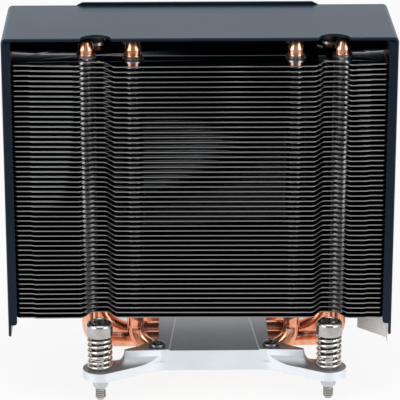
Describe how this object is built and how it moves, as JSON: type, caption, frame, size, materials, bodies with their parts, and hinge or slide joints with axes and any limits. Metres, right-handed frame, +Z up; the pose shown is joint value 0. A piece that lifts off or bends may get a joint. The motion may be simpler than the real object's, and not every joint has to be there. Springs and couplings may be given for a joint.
{
  "type": "passive server cpu heatsink",
  "caption": "Tall fin stack on bent copper heat pipes in a folded dark metal shroud, with a cross-armed aluminium bracket and captive spring screws.",
  "frame": {"origin": "centre of the copper contact face, midway between the four spring screws", "axes": "+Z up along the heat pipes, away from the processor; +X along the fins' long side; +Y towards the rear, where the shroud has its lip"},
  "size_m": [0.14, 0.0738, 0.1392],
  "materials": {
    "black_paint": "smooth satin navy-black paint",
    "fin_aluminium": "bare rolled aluminium sheet",
    "copper": "bare drawn copper",
    "bracket_aluminium": "fine bead-blasted aluminium",
    "dark_steel": "darkened steel",
    "polished_steel": "polished nickel-plated steel",
    "plain_steel": "turned zinc-plated steel",
    "spring_steel": "bright nickel-plated spring wire",
    "paper": "bare pale grey paper"
  },
  "bodies": {
    "root": {"shroud": "black_paint", "fin_stack": "fin_aluminium", "heat_pipe_front_inner": "copper", "heat_pipe_front_outer": "copper", "heat_pipe_rear_outer": "copper", "heat_pipe_rear_inner": "copper", "bracket": "bracket_aluminium", "base_plate": "copper", "base_screws": "dark_steel", "wall_tag": "paper", "spring_fl": "spring_steel", "spring_fr": "spring_steel", "spring_rl": "spring_steel", "spring_rr": "spring_steel"},
    "retainer_fl": {"retainer_fl": "plain_steel"},
    "screw_fl": {"spring_screw_fl": "polished_steel"},
    "retainer_fr": {"retainer_fr": "plain_steel"},
    "screw_fr": {"spring_screw_fr": "polished_steel"},
    "retainer_rl": {"retainer_rl": "plain_steel"},
    "screw_rl": {"spring_screw_rl": "polished_steel"},
    "retainer_rr": {"retainer_rr": "plain_steel"},
    "screw_rr": {"spring_screw_rr": "polished_steel"}
  },
  "joints": [
    {"name": "press_fl", "type": "slide", "parent": "root", "child": "retainer_fl", "axis": [0, 0, 1], "range_m": [-0.0045, 0], "stiffness_N_per_m": 1500, "springref_m": 0.003, "deforming": ["spring_fl"]},
    {"name": "turn_fl", "type": "hinge", "parent": "retainer_fl", "child": "screw_fl", "pos_m": [-0.042, -0.0305, 0], "axis": [0, 0, 1], "continuous": true},
    {"name": "press_fr", "type": "slide", "parent": "root", "child": "retainer_fr", "axis": [0, 0, 1], "range_m": [-0.0045, 0], "stiffness_N_per_m": 1500, "springref_m": 0.003, "deforming": ["spring_fr"]},
    {"name": "turn_fr", "type": "hinge", "parent": "retainer_fr", "child": "screw_fr", "pos_m": [0.042, -0.0305, 0], "axis": [0, 0, 1], "continuous": true},
    {"name": "press_rl", "type": "slide", "parent": "root", "child": "retainer_rl", "axis": [0, 0, 1], "range_m": [-0.0045, 0], "stiffness_N_per_m": 1500, "springref_m": 0.003, "deforming": ["spring_rl"]},
    {"name": "turn_rl", "type": "hinge", "parent": "retainer_rl", "child": "screw_rl", "pos_m": [-0.042, 0.0305, 0], "axis": [0, 0, 1], "continuous": true},
    {"name": "press_rr", "type": "slide", "parent": "root", "child": "retainer_rr", "axis": [0, 0, 1], "range_m": [-0.0045, 0], "stiffness_N_per_m": 1500, "springref_m": 0.003, "deforming": ["spring_rr"]},
    {"name": "turn_rr", "type": "hinge", "parent": "retainer_rr", "child": "screw_rr", "pos_m": [0.042, 0.0305, 0], "axis": [0, 0, 1], "continuous": true}
  ]
}
